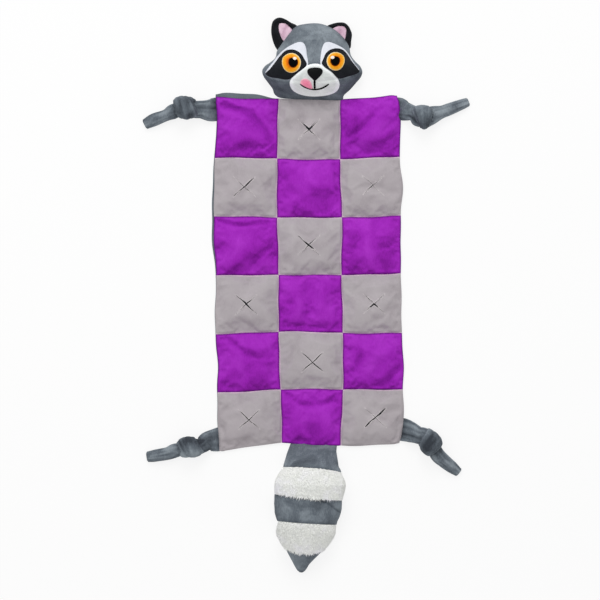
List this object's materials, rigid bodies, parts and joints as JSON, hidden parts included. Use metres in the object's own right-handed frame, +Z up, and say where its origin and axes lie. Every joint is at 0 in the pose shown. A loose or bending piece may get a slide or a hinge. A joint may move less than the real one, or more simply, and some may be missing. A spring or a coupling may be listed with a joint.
{
  "type": "treat mat",
  "caption": "Raccoon-shaped plush dog treat mat: checkered front with X-slit pockets, stuffed head, knotted limbs and a banded stuffed tail.",
  "frame": {"origin": "on the floor, below the middle of the whole toy's outline", "axes": "+Z up out of the mat's front, +Y along the mat towards the head, +X to the right as seen from above with the head up"},
  "size_m": [0.3527, 0.6069, 0.0496],
  "materials": {
    "purple_plush": "matte",
    "warm_grey_fleece": "matte",
    "dark_grey_plush": "matte",
    "backing_plush": "matte",
    "black_plush": "matte",
    "white_plush": "matte",
    "muzzle_plush": "matte",
    "orange_embroidery": "matte",
    "pink_embroidery": "matte",
    "ear_pink_plush": "matte",
    "white_fur": "matte",
    "filling": "matte",
    "squeaker_plastic": "satin"
  },
  "bodies": {
    "row_1": {"backing_row_1": "backing_plush", "plain_patch_row_1_left": "purple_plush", "plain_patch_row_1_right": "purple_plush", "pocket_row_1_middle": "warm_grey_fleece"},
    "row_2": {"backing_row_2": "backing_plush", "plain_patch_row_2_middle": "purple_plush", "pocket_row_2_left": "warm_grey_fleece", "pocket_row_2_right": "warm_grey_fleece"},
    "row_3": {"backing_row_3": "backing_plush", "plain_patch_row_3_left": "purple_plush", "plain_patch_row_3_right": "purple_plush", "pocket_row_3_middle": "warm_grey_fleece"},
    "row_4": {"backing_row_4": "backing_plush", "plain_patch_row_4_middle": "purple_plush", "pocket_row_4_left": "warm_grey_fleece", "pocket_row_4_right": "warm_grey_fleece"},
    "row_5": {"backing_row_5": "backing_plush", "plain_patch_row_5_left": "purple_plush", "plain_patch_row_5_right": "purple_plush", "pocket_row_5_middle": "warm_grey_fleece"},
    "row_6": {"backing_row_6": "backing_plush", "plain_patch_row_6_middle": "purple_plush", "pocket_row_6_left": "warm_grey_fleece", "pocket_row_6_right": "warm_grey_fleece"},
    "head": {"brow_left": "white_plush", "brow_right": "white_plush", "eye_left": "orange_embroidery", "eye_right": "orange_embroidery", "head_back_cover": "dark_grey_plush", "head_face_cover": "dark_grey_plush", "head_squeaker": "squeaker_plastic", "head_stuffing": "filling", "mask_left": "black_plush", "mask_right": "black_plush", "mouth_line": "black_plush", "muzzle": "muzzle_plush", "nose": "black_plush", "pupil_left": "black_plush", "pupil_right": "black_plush", "tongue": "pink_embroidery"},
    "ear_left": {"ear_left_back": "black_plush", "ear_left_lining": "ear_pink_plush"},
    "ear_right": {"ear_right_back": "black_plush", "ear_right_lining": "ear_pink_plush"},
    "left_arm": {"left_arm": "dark_grey_plush"},
    "left_foot": {"left_foot": "dark_grey_plush"},
    "left_hand": {"left_hand": "dark_grey_plush"},
    "left_leg": {"left_leg": "dark_grey_plush"},
    "right_arm": {"right_arm": "dark_grey_plush"},
    "right_foot": {"right_foot": "dark_grey_plush"},
    "right_hand": {"right_hand": "dark_grey_plush"},
    "right_leg": {"right_leg": "dark_grey_plush"},
    "tail": {"tail_lower_fur_band": "white_fur", "tail_middle_band": "dark_grey_plush", "tail_root_band": "dark_grey_plush", "tail_stuffing": "filling", "tail_tip": "dark_grey_plush", "tail_upper_fur_band": "white_fur"}
  },
  "joints": [
    {"name": "row_1_fold", "type": "hinge", "parent": "row_2", "child": "row_1", "pos_m": [0, 0.14904, 0.0008], "axis": [1, 0, 0], "range_deg": [-100, 100]},
    {"name": "row_2_fold", "type": "hinge", "parent": "row_3", "child": "row_2", "pos_m": [0, 0.08501, 0.0008], "axis": [-1, 0, 0], "range_deg": [-100, 100]},
    {"name": "row_4_fold", "type": "hinge", "parent": "row_3", "child": "row_4", "pos_m": [0, 0.02169, 0.0008], "axis": [-1, 0, 0], "range_deg": [-100, 100]},
    {"name": "row_5_fold", "type": "hinge", "parent": "row_4", "child": "row_5", "pos_m": [0, -0.04177, 0.0008], "axis": [1, 0, 0], "range_deg": [-100, 100]},
    {"name": "row_6_fold", "type": "hinge", "parent": "row_5", "child": "row_6", "pos_m": [0, -0.10433, 0.0008], "axis": [-1, 0, 0], "range_deg": [-100, 100]},
    {"name": "neck_bend", "type": "hinge", "parent": "row_1", "child": "head", "pos_m": [0.0046, 0.2158, 0.0008], "axis": [-1, 0, 0], "range_deg": [-85, 100]},
    {"name": "ear_left_flop", "type": "hinge", "parent": "head", "child": "ear_left", "pos_m": [-0.02749, 0.28844, 0.014], "axis": [0.7193, 0.6947, 0], "range_deg": [-45, 45], "stiffness_Nm_per_rad": 0.004},
    {"name": "ear_right_flop", "type": "hinge", "parent": "head", "child": "ear_right", "pos_m": [0.03669, 0.28844, 0.014], "axis": [0.7193, -0.6947, 0], "range_deg": [-45, 45], "stiffness_Nm_per_rad": 0.004},
    {"name": "left_arm_bend", "type": "hinge", "parent": "row_1", "child": "left_arm", "pos_m": [-0.1041, 0.20144, 0.0008], "axis": [0, -1, 0], "range_deg": [-85, 100]},
    {"name": "left_hand_flop", "type": "hinge", "parent": "left_arm", "child": "left_hand", "pos_m": [-0.1539, 0.19687, 0.00597], "axis": [-0.3714, 0.9285, 0], "range_deg": [-60, 60]},
    {"name": "right_arm_bend", "type": "hinge", "parent": "row_1", "child": "right_arm", "pos_m": [0.1041, 0.20144, 0.0008], "axis": [0, 1, 0], "range_deg": [-85, 100]},
    {"name": "right_hand_flop", "type": "hinge", "parent": "right_arm", "child": "right_hand", "pos_m": [0.14761, 0.20156, 0.00597], "axis": [0.342, -0.9397, 0], "range_deg": [-60, 60]},
    {"name": "left_leg_bend", "type": "hinge", "parent": "row_6", "child": "left_leg", "pos_m": [-0.1041, -0.15247, 0.0008], "axis": [0, -1, 0], "range_deg": [-85, 100]},
    {"name": "left_foot_flop", "type": "hinge", "parent": "left_leg", "child": "left_foot", "pos_m": [-0.14988, -0.17039, 0.00597], "axis": [-0.2266, 0.974, 0], "range_deg": [-60, 60]},
    {"name": "right_leg_bend", "type": "hinge", "parent": "row_6", "child": "right_leg", "pos_m": [0.1041, -0.14741, 0.0008], "axis": [0, 1, 0], "range_deg": [-85, 100]},
    {"name": "right_foot_flop", "type": "hinge", "parent": "right_leg", "child": "right_foot", "pos_m": [0.14854, -0.17875, 0.00597], "axis": [-0.7059, -0.7083, 0], "range_deg": [-60, 60]},
    {"name": "tail_bend", "type": "hinge", "parent": "row_6", "child": "tail", "pos_m": [0.0055, -0.1656, 0.0008], "axis": [1, 0, 0], "range_deg": [-85, 100]}
  ]
}
